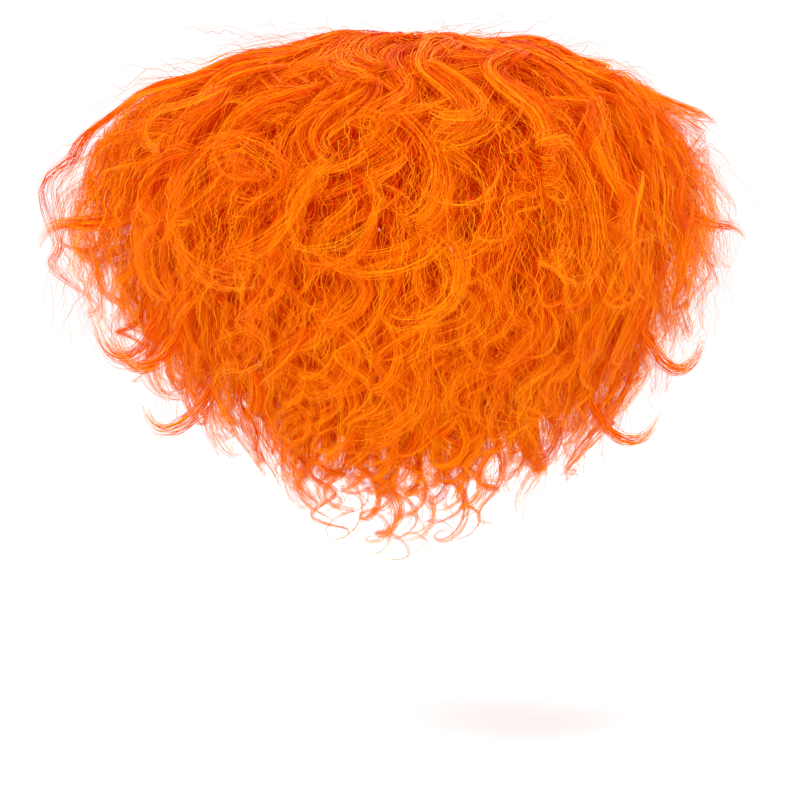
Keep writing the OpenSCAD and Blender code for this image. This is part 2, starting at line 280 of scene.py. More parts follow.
def neighbour_drift(turn, share, start):
    """A slowly varying number for each place on the head, so that neighbours wave together."""
    a = np.radians(turn)
    wide = np.sin(3 * a + start)
    close = np.sin(5 * a + 4.1 * share + 2.3 * start)
    return wide + close + np.sin(7.3 * share - 2 * a + 0.7 * start)


def curled_guides(draw, turn, share, first, last, curl, wave, points, own=0.3, sweep=1.0):
    """Paths through the hair, waved and curled. Sizes are arrays, one number to a path."""
    n = len(turn)
    along = first[:, None] + (last - first)[:, None] * np.linspace(0, 1, points)[None]
    path = hair_field(turn[:, None], share[:, None], along, sweep)
    run = lengths(path)
    tangent, side, out = frames(path)
    tip = smooth((run / run[:, -1:] - TIP_FROM) / (1 - TIP_FROM))
    grown = smooth(run / CURL_GROWS)
    phase = TOGETHER * neighbour_drift(turn, share, 0.6)[:, None] + own * draw.normal(0, 1, (n, 1))
    turns = TAU * run / wave[:, None] * (1 + TIP_TIGHTENS * tip) + phase
    hand = np.where(neighbour_drift(turn, share, 2.9) > 0, 1, -1)[:, None]
    size = curl[:, None] * grown * (CURL_AT_FIRST + CURL_AT_TIP * tip)
    loop = draw.uniform(0.15, 1.0, (n, 1))
    depth = draw.uniform(0.25, 0.6, (n, 1))
    bend = ripples(draw, n, run, BEND_WAVES, BEND_SIZE) * grown[..., None]
    across = size * np.cos(turns) + bend[..., 0]
    outward = size * depth * np.sin(turns + 0.8) + 0.5 * bend[..., 1]
    back = size * loop * np.sin(turns) * hand
    return path + side * across[..., None] + out * outward[..., None] + tangent * back[..., None]


def offset_paths(draw, guides, each, reach, flatness, waves, wander, thin_tip):
    """Several paths beside each guide, within reach of it, that drift slowly about their places."""
    n = len(guides)
    run = lengths(guides)
    share = run / run[:, -1:]
    _, side, out = frames(guides)
    guide = np.repeat(np.arange(n), each)
    m = len(guide)
    filled = ROOT_FULL + (1 - ROOT_FULL) * smooth(share / FULL_BY)
    fullness = filled * (1 - thin_tip * smooth((share - THIN_FROM) / (1 - THIN_FROM)))
    wide = np.sqrt(draw.uniform(0, 1, (m, 1))) * (reach[:, None] * fullness)[guide]
    twist = draw.uniform(-1, 1, (n, 1)) * TWIST * share
    angle = draw.uniform(0, TAU, (m, 1)) + twist[guide]
    settled = smooth(run[guide] / SETTLE_OVER)[..., None]
    drift = ripples(draw, m, run[guide], waves, wander) * settled
    x = wide * np.cos(angle) + drift[..., 0]
    y = wide * np.sin(angle) * flatness + drift[..., 1]
    places = guides[guide] + side[guide] * x[..., None] + out[guide] * y[..., None]
    skin = angle + TAU / 4 + draw.normal(0, TILT, (m, 1))
    across = side[guide] * np.cos(skin)[..., None] + out[guide] * np.sin(skin)[..., None]
    return np.concatenate([places, across], axis=-1)


def cut_short(draw, points, low, high):
    """Resamples each strand so that it ends somewhere between two shares of its length."""
    m, k = points.shape[:2]
    ends = draw.uniform(low, high, m)
    place = np.linspace(0, 1, k)[None] * ends[:, None] * (k - 1)
    index = np.minimum(place.astype(int), k - 2)
    part = (place - index)[..., None]
    rows = np.arange(m)[:, None]
    return points[rows, index] * (1 - part) + points[rows, index + 1] * part


def any_way(draw, points):
    """Fibres that lie turned at random about their paths."""
    _, side, out = frames(points)
    along = np.linspace(0, 1, points.shape[1])[None, :, None]
    turn = draw.uniform(0, TAU, (len(points), 1, 1)) + FIBRE_TWIST * along
    return np.concatenate([points, side * np.cos(turn) + out * np.sin(turn)], axis=-1)


def strand_radius(draw, points, middle):
    """Half of each strand's width along it, finer toward its tip."""
    m, k = points.shape[:2]
    share = np.linspace(0, 1, k)[None]
    own = draw.uniform(0.75, 1.3, (m, 1))
    return middle * own * (1 - STRAND_TAPER * smooth((share - THIN_FROM) / (1 - THIN_FROM)))


# ---- Materials ----
def new_material(name):
    material = bpy.data.materials.new(name)
    material.use_nodes = True
    nodes = material.node_tree.nodes
    links = material.node_tree.links
    return material, nodes, links, nodes["Principled BSDF"]


def math_node(nodes, links, operation, first, second):
    """Joins two values, each a number or another node's output."""
    node = nodes.new("ShaderNodeMath")
    node.operation = operation
    for socket, value in zip(node.inputs, (first, second)):
        if isinstance(value, (int, float)):
            socket.default_value = value
        else:
            links.new(value, socket)
    return node.outputs[0]


def ramp_node(nodes, links, value, colours):
    """A colour ramp from evenly spaced colours."""
    node = nodes.new("ShaderNodeValToRGB")
    ends = node.color_ramp.elements
    ends[0].color = (*colours[0], 1)
    ends[1].color = (*colours[-1], 1)
    for i, colour in enumerate(colours[1:-1], 1):
        ends.new(i / (len(colours) - 1)).color = (*colour, 1)
    links.new(value, node.inputs["Fac"])
    return node.outputs["Color"]


# What a fibre's shade is made of: its own, its lock's, and a lighter tip
SHADE_BASE, OWN_SHADE, LOCK_SHADE, TIP_SHADE, TIP_POWER = -0.62, 0.35, 1.9, 0.5, 3
FIBRE_COLUMNS, LOCK_COLUMNS, LOCK_STEPS = 500, 40, 3


def hair_material(name, colours, glow):
    """Synthetic fibre. glow is a faint red light for what scatters between the fibres."""
    material, nodes, links, shader = new_material(name)
    uv = nodes.new("ShaderNodeUVMap")
    uv.uv_map = "OFBake"
    split = nodes.new("ShaderNodeSeparateXYZ")
    links.new(uv.outputs["UV"], split.inputs[0])
    strand, along = split.outputs["X"], split.outputs["Y"]
    noise = nodes.new("ShaderNodeTexWhiteNoise")
    noise.noise_dimensions = "1D"
    column = math_node(nodes, links, "MULTIPLY", strand, FIBRE_COLUMNS)
    links.new(math_node(nodes, links, "FLOOR", column, 0), noise.inputs["W"])
    patches = nodes.new("ShaderNodeTexNoise")
    patches.noise_dimensions = "2D"
    patches.inputs["Scale"].default_value = 1.0
    patches.inputs["Detail"].default_value = 1.0
    place = nodes.new("ShaderNodeCombineXYZ")
    links.new(math_node(nodes, links, "MULTIPLY", strand, LOCK_COLUMNS), place.inputs["X"])
    links.new(math_node(nodes, links, "MULTIPLY", along, LOCK_STEPS), place.inputs["Y"])
    links.new(place.outputs[0], patches.inputs["Vector"])
    own = math_node(nodes, links, "MULTIPLY_ADD", noise.outputs["Value"], OWN_SHADE)
    own.node.inputs[2].default_value = SHADE_BASE
    lock = math_node(nodes, links, "MULTIPLY", patches.outputs[0], LOCK_SHADE)
    near_tip = math_node(nodes, links, "POWER", along, TIP_POWER)
    tip = math_node(nodes, links, "MULTIPLY", near_tip, TIP_SHADE)
    shade = math_node(nodes, links, "ADD", math_node(nodes, links, "ADD", own, lock), tip)
    links.new(ramp_node(nodes, links, shade, colours), shader.inputs["Base Color"])
    shader.inputs["Roughness"].default_value = 0.5
    shader.inputs["Specular IOR Level"].default_value = 0.2
    shader.inputs["Specular Tint"].default_value = (1.0, 0.42, 0.06, 1)
    shader.inputs["Emission Color"].default_value = (1.0, 0.03, 0.0, 1)
    shader.inputs["Emission Strength"].default_value = glow
    return material


OUTER = hair_material("hair_outer", [(0.55, 0.022, 0.0), (0.75, 0.108, 0.0), (0.87, 0.28, 0.002)], 0.1)
# Painted shade: a darker, redder copy of the hair's colour, with more red glow, for the inner body where
# shade falls between the locks
SHADED_HAIR = hair_material("hair_painted_shade", [(0.44, 0.01, 0.0), (0.58, 0.026, 0.0)], 0.12)
PALE = hair_material("hair_frizz", [(0.74, 0.15, 0.0), (0.85, 0.31, 0.003)], 0.1)


# ---- Cap: each tape, band and patch is a thin shell with rounded edges ----
# Each layer lies between two distances out from the head
LINING, NET, STRIP, TRACK = (0.0, 0.9), (1.3, 2.0), (2.6, 3.4), (4.2, 5.4)


def mid(layer):
    return (layer[0] + layer[1]) / 2


def thickness(layer):
    return layer[1] - layer[0]


def dress(name, mesh, material, body="cap", node=None):
    """Makes a mesh a piece of the wig, which may stand in for one of the CAD's nodes."""
    obj = bpy.data.objects.new(name, mesh)
    bpy.context.scene.collection.objects.link(obj)
    mesh.materials.append(material)
    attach(obj, body)
    if node:
        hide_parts(node)
    return obj


def shell_faces(m, n):
    """Faces of a closed shell: two skins of m by n corners, and the rim between them."""
    number = np.arange(2 * m * n).reshape(2, m, n)
    faces = []
    for skin, flip in ((0, False), (1, True)):
        a = number[skin]
        quads = np.stack([a[:-1, :-1], a[1:, :-1], a[1:, 1:], a[:-1, 1:]], -1).reshape(-1, 4)
        faces += (quads[:, ::-1] if flip else quads).tolist()
    sides = [number[:, :, 0].T, number[:, -1, 1:].T, number[:, ::-1, -1].T[1:], number[:, 0, -2::-1].T]
    rim = np.concatenate(sides)
    faces += np.stack([rim[:-1, 0], rim[:-1, 1], rim[1:, 1], rim[1:, 0]], -1).tolist()
    return faces


def shell(name, grid, thick, material, body="cap", node=None, edge=0.45):
    """A closed thin shell about a grid of places, thinner toward its long edges. Sizes in mm."""
    m, n = grid.shape[:2]
    along, across = np.gradient(grid, axis=0), np.gradient(grid, axis=1)
    normal = unit(np.cross(along, across))
    part = np.abs(np.linspace(-1, 1, n))[None, :, None]
    half = thick / 2 * (edge + (1 - edge) * np.sqrt(np.maximum(0, 1 - part**4)))
    skins = np.stack([grid + normal * half, grid - normal * half])
    mesh = bpy.data.meshes.new(name)
    mesh.from_pydata((skins.reshape(-1, 3) * MM).tolist(), [], shell_faces(m, n))
    mesh.update()
    steps = np.cumsum(np.linalg.norm(np.diff(grid[:, n // 2], axis=0), axis=1))
    u = np.concatenate([[0], steps])[:, None] * np.ones((1, n))
    width = np.linalg.norm(grid[:, -1] - grid[:, 0], axis=-1)[:, None]
    v = width * np.linspace(-0.5, 0.5, n)[None]
    place = np.tile(np.stack([u, v], -1).reshape(-1, 2), (2, 1))
    layer = mesh.uv_layers.new(name="weave")
    corner_verts = np.empty(len(mesh.loops), dtype=np.int32)
    mesh.loops.foreach_get("vertex_index", corner_verts)
    layer.data.foreach_set("uv", (place[corner_verts] / 10).astype(np.float32).ravel())
    mesh.shade_smooth()
    return dress(name, mesh, material, body, node)


def fabric_material(name, dark, light, threads, ribs, roughness, sheen, bump):
    """Woven or knitted cloth. threads and ribs are how many run across 10 mm each way."""
    material, nodes, links, shader = new_material(name)
    uv = nodes.new("ShaderNodeUVMap")
    uv.uv_map = "weave"
    waves = []
    for direction, count in (("X", threads), ("Y", ribs)):
        wave = nodes.new("ShaderNodeTexWave")
        wave.bands_direction = direction
        wave.inputs["Scale"].default_value = count * 0.314
        wave.inputs["Distortion"].default_value = 0.6
        links.new(uv.outputs["UV"], wave.inputs["Vector"])
        waves.append(wave.outputs[1])
    weave = math_node(nodes, links, "MULTIPLY", waves[0], waves[1])
    cloudy = nodes.new("ShaderNodeTexNoise")
    cloudy.inputs["Scale"].default_value = 3.0
    cloudy.inputs["Detail"].default_value = 5.0
    links.new(uv.outputs["UV"], cloudy.inputs["Vector"])
    worn = math_node(nodes, links, "MULTIPLY", cloudy.outputs[0], 0.7)
    shade = math_node(nodes, links, "ADD", math_node(nodes, links, "MULTIPLY", weave, 0.5), worn)
    links.new(ramp_node(nodes, links, shade, [dark, light]), shader.inputs["Base Color"])
    relief = nodes.new("ShaderNodeBump")
    relief.inputs["Strength"].default_value = bump
    relief.inputs["Distance"].default_value = 0.0002
    links.new(weave, relief.inputs["Height"])
    links.new(relief.outputs[0], shader.inputs["Normal"])
    shader.inputs["Roughness"].default_value = roughness
    shader.inputs["Sheen Weight"].default_value = sheen
    shader.inputs["Specular IOR Level"].default_value = 0.3
    return material


# Each cloth: dark and light colour, threads and ribs, roughness, sheen and relief
LACE = fabric_material("lace", (0.05, 0.024, 0.014), (0.16, 0.08, 0.045), 12, 9, 0.85, 0.2, 0.8)
SKIN_TAPE = fabric_material("skin_tape", (0.45, 0.27, 0.16), (0.66, 0.45, 0.3), 24, 24, 0.8, 0.2, 0.5)
SATIN = fabric_material("satin", (0.07, 0.03, 0.014), (0.15, 0.07, 0.035), 40, 10, 0.35, 0.3, 0.25)
VELOUR = fabric_material("velour", (0.3, 0.17, 0.1), (0.48, 0.3, 0.18), 30, 30, 0.95, 0.8, 0.6)
TAB_CLOTH = fabric_material("tab_cloth", (0.16, 0.07, 0.03), (0.32, 0.16, 0.08), 22, 22, 0.85, 0.3, 0.6)
ELASTIC = fabric_material("elastic", (0.03, 0.015, 0.01), (0.1, 0.055, 0.035), 9, 14, 0.8, 0.2, 1.0)
STRAP_KNIT = fabric_material("strap_knit", (0.1, 0.055, 0.035), (0.24, 0.14, 0.09), 10, 12, 0.8, 0.2, 1.0)
CASING = fabric_material("casing_cloth", (0.09, 0.045, 0.025), (0.2, 0.1, 0.06), 20, 20, 0.85, 0.2, 0.6)
LOOPS = fabric_material("loop_pile", (0.07, 0.04, 0.028), (0.2, 0.12, 0.08), 15, 13, 1.0, 0.9, 1.0)
HOOKS = fabric_material("hook_tape", (0.05, 0.03, 0.022), (0.2, 0.14, 0.1), 8, 8, 0.4, 0.0, 1.0)
LABEL = fabric_material("label_satin", (0.72, 0.71, 0.68), (0.9, 0.89, 0.86), 40, 30, 0.45, 0.2, 0.3)
WEFT = fabric_material("weft", (0.5, 0.03, 0.0), (0.85, 0.14, 0.004), 3, 14, 0.6, 0.2, 1.0)
THREAD = fabric_material("thread", (0.25, 0.08, 0.02), (0.5, 0.18, 0.05), 30, 30, 0.7, 0.2, 0.3)
NET_YARN = fabric_material("net_yarn", (0.2, 0.06, 0.02), (0.42, 0.15, 0.05), 20, 20, 0.8, 0.2, 0.5)


def head_grid(turns, lows, highs, layer, across=9):
    """Places for a band round the head, between two heights in degrees at each turn."""
    part = np.linspace(0, 1, across)[None]
    rise = lows[:, None] + (highs - lows)[:, None] * part
    return head_point(turns[:, None] + 0 * rise, rise, mid(layer))


def upright_grid(turn, low, high, widths, layer, across=11):
    """Places for a tape that runs up the head at one turn. widths is its width at each step."""
    rise = np.linspace(low, high, len(widths))
    middle = head_point(np.full(len(widths), float(turn)), rise, mid(layer))
    t = math.radians(turn)
    rim = np.array([-HALF_W * math.sin(t), HALF_L * math.cos(t), 0])
    rim /= np.linalg.norm(rim)
    place = np.linspace(-0.5, 0.5, across)[None, :, None] * widths[:, None, None]
    return middle[:, None] + place * rim


# Each stitch's length, the gap to the next, its girth, and the steps and sides of its mesh
STITCH_LENGTH, STITCH_GAP, STITCH_GIRTH, STITCH_STEPS, STITCH_SIDES = 2.4, 1.3, 0.22, 6, 6
# Where stitches lie, as a share of the distance out to the middle of what they sew
TAPE_SEAM, BAND_SEAM, BINDING_SEAM, WEFT_SEAM = 1.004, 1.005, 1.006, 0.993


def stitches(name, path, body="cap", zigzag=0.0):
    """A row of stitches along a path of places in mm."""
    steps = np.concatenate([[0], np.cumsum(np.linalg.norm(np.diff(path, axis=0), axis=1))])
    count = max(2, int(steps[-1] / (STITCH_LENGTH + STITCH_GAP)))
    start = (np.arange(count) + 0.15) * steps[-1] / count
    along = start[:, None] + np.linspace(0, STITCH_LENGTH, STITCH_STEPS)[None]
    place = np.stack([np.interp(along, steps, path[:, i]) for i in range(3)], axis=-1)
    _, side, _ = frames(place)
    way = np.where(np.arange(count) % 2, 1, -1)[:, None] * np.linspace(-1, 1, STITCH_STEPS)[None]
    place = place + side * (zigzag * way)[..., None]
    swell = 0.45 + 0.55 * np.sin(np.linspace(0, math.pi, STITCH_STEPS))
    obj = tube_mesh(name, place, STITCH_GIRTH * swell[None] * np.ones((count, 1)), STITCH_SIDES)
    obj.data.materials.append(THREAD)
    obj.data.uv_layers[0].name = "weave"
    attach(obj, body)


# The crown net: hexagonal meshes of flat yarn, stretched over the crown
NET_LOW, NET_RIM, NET_CELL, NET_YARN_SHARE, NET_MARGIN = 48.0, 62.0, 2.6, 0.4, 0.4


def crown_net():
    spread = 90 - NET_LOW
    cells = int(NET_RIM / NET_CELL) + 2
    verts, faces, seen = [], [], {}

    def corner(x, y):
        """The number of the corner at a place on the flat net, which is added if it is new."""
        key = (round(x, 3), round(y, 3))
        if key not in seen:
            seen[key] = len(verts)
            reach = min(1.0, math.hypot(x, y) / NET_RIM)
            turn = math.degrees(math.atan2(y, x))
            verts.append(head_point(turn, 90 - spread * reach, mid(NET)) * MM)
        return seen[key]

    inside = 1 - NET_YARN_SHARE
    for i in range(-cells, cells + 1):
        for j in range(-cells, cells + 1):
            cx, cy = NET_CELL * math.sqrt(3) * (i + j / 2), NET_CELL * 1.5 * j
            if math.hypot(cx, cy) > NET_RIM - NET_MARGIN * NET_CELL:
                continue
            for k in range(6):
                a, b = math.radians(60 * k + 30), math.radians(60 * k + 90)
                faces.append(
                    [
                        corner(cx + NET_CELL * r * math.cos(angle), cy + NET_CELL * r * math.sin(angle))
                        for r, angle in ((1, a), (1, b), (inside, b), (inside, a))
                    ]
                )
    mesh = bpy.data.meshes.new("crown_net_mesh")
    mesh.from_pydata([tuple(v) for v in verts], [], faces)
    mesh.update()
    layer = mesh.uv_layers.new(name="weave")
    for loop in mesh.loops:
        place = mesh.vertices[loop.vertex_index].co
        layer.data[loop.index].uv = (place.x * 100, place.y * 100)
    mesh.shade_smooth()
    return dress("crown_net_yarn", mesh, NET_YARN, node="crown_net")


def crown_hem():
    turns = np.linspace(0, 360, 145)
    low = np.full(len(turns), NET_LOW)
    grid = head_grid(turns, low, low + 2.2, NET, 5)
    return shell("net_hem", grid, 0.7, ELASTIC)


net = crown_net()
net_hem = crown_hem()

# Where each lace strip stands round the head, and the height of its lower end, in degrees
STRIPS = {
    "strip_back_centre": (270, -30),
    "strip_back_left": (242, -30),
    "strip_back_right": (298, -30),
    "strip_side_left": (208, -17),
    "strip_side_right": (332, -17),
    "strip_temple_left": (154, 11),
    "strip_temple_right": (26, 11),
}
STRIP_TOP, STRIP_W, SCALLOP_DEPTH, SCALLOP_PITCH = 47.2, 12.0, 1.6, 2.2


def lace_strip(node, turn, low):
    """A strip of elastic lace with scalloped edges and a sewn line near each."""
    run = STRIP_TOP - low
    scallop = np.abs(np.sin(np.linspace(0, run / SCALLOP_PITCH * math.pi, int(run * 5))))
    widths = STRIP_W - SCALLOP_DEPTH + SCALLOP_DEPTH * scallop
    grid = upright_grid(turn, low, STRIP_TOP, widths, STRIP)
    shell(f"{node}_lace", grid, thickness(STRIP), LACE, node=node, edge=0.3)
    for edge in (2, 8):
        stitches(f"{node}_seam_{edge}", grid[:, edge] * TAPE_SEAM)


def parting_tape():
    grid = upright_grid(90, 14.8, STRIP_TOP, np.full(90, 16.0), STRIP)
    tape = thickness(STRIP)
    shell("parting_tape_weave", grid, tape, SKIN_TAPE, node="parting_tape")
    for edge in (1, 9):
        stitches(f"parting_seam_{edge}", grid[:, edge] * TAPE_SEAM)


# The front band and its lining: turns at their ends, lower edge and height, all in degrees
FRONT_TURNS, FRONT_LOW, FRONT_RISE = (44, 136), 9.0, 5
LINING_TURNS, LINING_LOW, LINING_RISE = (60, 120), 9.4, 4.2


def front_band():
    turns = np.linspace(*FRONT_TURNS, 130)
    low = np.full(len(turns), FRONT_LOW)
    grid = head_grid(turns, low, low + FRONT_RISE, NET, 11)
    shell("front_ribbon", grid, thickness(NET), SATIN, node="front_band")
    for edge in (1, 9):
        stitches(f"front_seam_{edge}", grid[:, edge] * BAND_SEAM)


def forehead_lining():
    turns = np.linspace(*LINING_TURNS, 80)
    low = np.full(len(turns), LINING_LOW)
    grid = head_grid(turns, low, low + LINING_RISE, LINING)
    shell("lining_velour", grid, 0.9, VELOUR, node="forehead_lining")


# Ear tabs and the elastic over and behind the ears, in degrees on the wearer's right.
# TAB_BLUNT keeps a tab's ends from running out to a point; EAR_THICK is in mm.
TAB_TURNS, TAB_TOP, TAB_DEPTH, TAB_BLUNT = (16, 43), 8.0, 26, 0.06
BINDING_TURNS, BINDING_LOW, BINDING_CLIMB, BINDING_PACE, BINDING_RISE = (-36, 15), -27, 30, 1.15, 5
EAR_THICK = 0.7


def for_side(turns, side):
    """Turns on the wearer's right, or mirrored to the left."""
    return turns if side == "right" else 180 - turns


def ear_tab(side):
    turns = np.linspace(*TAB_TURNS, 60)
    across = (turns - TAB_TURNS[0]) / (TAB_TURNS[1] - TAB_TURNS[0]) * 2 - 1
    low = TAB_TOP - TAB_DEPTH * np.sqrt(np.maximum(TAB_BLUNT, 1 - across**2))
    grid = head_grid(for_side(turns, side), low, np.full(len(turns), TAB_TOP), NET, 25)
    node = f"ear_tab_{side}"
    shell(f"ear_tab_cloth_{side}", grid, EAR_THICK, TAB_CLOTH, node=node, edge=0.7)
    stitches(f"ear_tab_seam_{side}", grid[3:-3, 3] * BAND_SEAM)


def ear_binding(side):
    turns = np.linspace(*BINDING_TURNS, 110)
    part = (turns - BINDING_TURNS[0]) / (BINDING_TURNS[1] - BINDING_TURNS[0])
    low = BINDING_LOW + BINDING_CLIMB * np.sin(np.pi / 2 * np.minimum(1, BINDING_PACE * part))
    grid = head_grid(for_side(turns, side), low, low + BINDING_RISE, NET)
    node = f"ear_binding_{side}"
    shell(f"ear_elastic_{side}", grid, EAR_THICK, ELASTIC, node=node)
    stitches(f"ear_elastic_seam_{side}", grid[:, 4] * BINDING_SEAM, zigzag=0.6)


# Nape band, label and adjusters: round bands about one upright axis, at radii out from it
NAPE_Y, BAND_MID, BAND_IN, BAND_W, STRAP_W = -28.005, -86.5, 57.64, 18.0, 7.0
BAND_THICK, STRAP_THICK, PATCH_THICK, PATCH_GAP = 1.0, 1.0, 0.8, 0.2
PATCH_IN = BAND_IN - PATCH_THICK
HOOK_OUT = PATCH_IN - PATCH_GAP
STRAP_OUT = HOOK_OUT - PATCH_THICK
STRAP_IN = STRAP_OUT - STRAP_THICK
CASING_THICK, CASING_GAP, CASING_EXTRA = 0.8, 1.2, 2.4
LABEL_THICK, LABEL_LENGTH, LABEL_DROP = 0.4, 23.0, 5.5
# Where each piece begins and ends, in degrees from the middle of the nape
BAND_TURNS = (-80, 80)
LABEL_TURNS = (-6, 6)
LOOP_TURNS = (9, 44)
HOOK_TURNS = (31, 41)
STRAP_TURNS = (30, 72)
CASING_TURNS = (45, 75)
# Shares of the distance from the axis: where the stitches lie, and how far the casing folds out
NAPE_SEAM, CASING_SEAM, FOLD_DEPTH = 1.009, 0.992, 0.055


def nape_grid(turns, inner, thick, height, middle=BAND_MID, across=11, count=120):
    """Places for a round band between two turns, given in either order."""
    t = np.radians(270 + np.linspace(min(turns), max(turns), count))[:, None]
    z = middle + height * np.linspace(-0.5, 0.5, across)[None]
    r = inner + thick / 2
    return np.stack([r * np.cos(t) + 0 * z, NAPE_Y + r * np.sin(t) + 0 * z, z + 0 * t], axis=-1)


def from_nape(places, share):
    """The same places at a share of their distance from the nape's upright axis."""
    axis = np.array([0, NAPE_Y, 0])
    return (places - axis) * [share, share, 1] + axis


def nape_band():
    grid = nape_grid(BAND_TURNS, BAND_IN, BAND_THICK, BAND_W, across=19, count=300)
    shell("nape_elastic", grid, BAND_THICK, ELASTIC, node="nape_band", edge=0.6)
    for edge in (1, 17):
        stitches(f"nape_seam_{edge}", from_nape(grid[:, edge], NAPE_SEAM))


def care_label():
    middle = BAND_MID - LABEL_DROP
    grid = nape_grid(LABEL_TURNS, BAND_IN - LABEL_THICK, LABEL_THICK, LABEL_LENGTH, middle, 15, 30)
    shell("label_cloth", grid, 0.35, LABEL, node="care_label", edge=0.8)


def adjuster(side, sign):
    """A loop patch and a casing on the band, and the strap and hook patch that slide."""

    def band(turns, inner, thick, height=STRAP_W):
        return nape_grid([sign * turn for turn in turns], inner, thick, height)

    body = f"adjuster_{side}"
    grid = band(LOOP_TURNS, PATCH_IN, PATCH_THICK, STRAP_W + 3)
    node = f"loop_patch_{side}"
    shell(f"loop_pile_{side}", grid, PATCH_THICK, LOOPS, node=node, edge=0.8)
    grid = band(STRAP_TURNS, STRAP_IN, STRAP_THICK)
    node = f"strap_{side}"
    shell(f"strap_knit_{side}", grid, STRAP_THICK, STRAP_KNIT, body, node)
    grid = band(HOOK_TURNS, STRAP_OUT, PATCH_THICK)
    node = f"hook_patch_{side}"
    shell(f"hook_face_{side}", grid, PATCH_THICK, HOOKS, body, node, edge=0.8)
    grid = band(CASING_TURNS, STRAP_IN - CASING_GAP, CASING_THICK, STRAP_W + CASING_EXTRA)
    node = f"strap_casing_{side}"
    shell(f"casing_inner_{side}", grid, CASING_THICK, CASING, node=node, edge=0.8)
    for edge, seam in ((0, 1), (10, 9)):
        steps = np.linspace(0, FOLD_DEPTH, 5)
        fold = np.stack([from_nape(grid[:, edge], 1 + step) for step in steps], 1)
        shell(f"casing_fold_{side}_{edge}", fold, CASING_THICK, CASING, edge=1.0)
        stitches(f"casing_seam_{side}_{edge}", from_nape(grid[:, seam], CASING_SEAM))


# The width of a weft band, which those above STEEP_RISE degrees exceed by STEEP_GAIN
TRACK_W, STEEP_RISE, STEEP_GAIN = 4.0, 60, 1.15


def weft_band(row):
    """Fibre folded over and sewn with three lines of chain stitch."""
    rise = LOW_ROW + (TOP_ROW - LOW_ROW) * row / (ROWS - 1)
    half = math.degrees(TRACK_W / 2 / CROWN_H) * (STEEP_GAIN if rise > STEEP_RISE else 1)
    reach = ROW_REACH[row]
    turns = np.linspace(270 - reach, 270 + reach, 40 + 3 * reach)
    low = np.full(len(turns), rise - half)
    grid = head_grid(turns, low, low + 2 * half, TRACK)
    node = f"track_row_{row + 1}"
    shell(f"weft_band_{row + 1}", grid, thickness(TRACK), WEFT, node=node)
    for edge in (2, 4, 6):
        line = grid[:, edge] * WEFT_SEAM
        stitches(f"weft_seam_{row + 1}_{edge}", line, zigzag=0.4)


for node, (turn, low) in STRIPS.items():
    lace_strip(node, turn, low)
parting_tape()
front_band()
forehead_lining()
for side in ("left", "right"):
    ear_tab(side)
    ear_binding(side)
nape_band()
care_label()
for side, sign in (("left", -1), ("right", 1)):
    adjuster(side, sign)
for row in range(ROWS):
    weft_band(row)

# ---- Hair: each row is made of clumps, each clump of locks, each lock of strands ----
MAX_TRIANGLES = 195000
# Half of a fibre's width in mm
FIBRE, CURL_FIBRE, WHORL_FIBRE, UNDER_FIBRE, FRIZZ_FIBRE, STRAY_FIBRE = 0.21, 0.22, 0.28, 0.9, 0.13, 0.17
# Wavelengths in mm at which strands drift in a lock, a curl and a flick, and locks in a clump
LOCK_WAVES, CURL_WAVES, FLICK_WAVES, CLUMP_WAVES = [85, 48], [60, 35], [70, 40], [120, 75]


def add_strands(name, strands, width, material, node=None, free=False):
    """Adds strands as one or more pieces, each small enough to be kept whole."""
    m, k = strands.shape[:2]
    parts = math.ceil(m * (k - 1) * 2 / MAX_TRIANGLES)
    for part, points in enumerate(np.array_split(strands, parts)):
        obj = ribbon_mesh(f"{name}_{part + 1}", points, strand_radius(rng, points, width), free)
        obj.data.materials.append(material)
        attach(obj, "cap")
        if node and not part:
            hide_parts(node)


# Each row's number of clumps, from the nape up to the crown
CLUMPS = [18, 20, 24, 32, 36, 46, 50, 48, 40]
LOCKS_EACH, STRANDS_EACH = 3, 34
# The rows that spread wider round the head, and those that hang long, counted from the nape
WIDE_ROWS, LONG_ROWS = 5, 6


def hair_row(row):
    """One weft's hair: clumps of locks, and locks of strands."""
    up = row / (ROWS - 1)
    n = CLUMPS[row]
    reach = ROW_REACH[row] + (8 if row < WIDE_ROWS else 6)
    turn = 270 - reach + 2 * reach * (np.arange(n) + rng.uniform(0.1, 0.9, n)) / n
    share = up + rng.uniform(-0.055, 0.055, n)
    last = rng.uniform(0.8, 1.06, n) if row < LONG_ROWS else rng.uniform(0.6, 1.03, n)
    curl = rng.uniform(7, 13, n) * np.where(rng.uniform(0, 1, n) < 0.3, 1.7, 1)
    wave = rng.uniform(80, 120, n) * (0.75 + 0.25 * up)
    guides = curled_guides(rng, turn, share, np.zeros(n), last, curl, wave, round(30 + 24 * up))
    girth = rng.uniform(11, 17, n) * (0.75 + 0.4 * up)
    locks = offset_paths(rng, guides, LOCKS_EACH, girth, 0.5, CLUMP_WAVES, 2.5, 0.35)
    lock_girth = np.repeat(girth, LOCKS_EACH) * rng.uniform(0.35, 0.6, n * LOCKS_EACH)
    strands = offset_paths(rng, locks[..., :3], STRANDS_EACH, lock_girth, 0.5, LOCK_WAVES, 0.75, 0.8)
    strands = cut_short(rng, strands, 0.7, 1.0)
    add_strands(f"hair_{row + 1}", strands, FIBRE, OUTER, f"hair_row_{row + 1}")


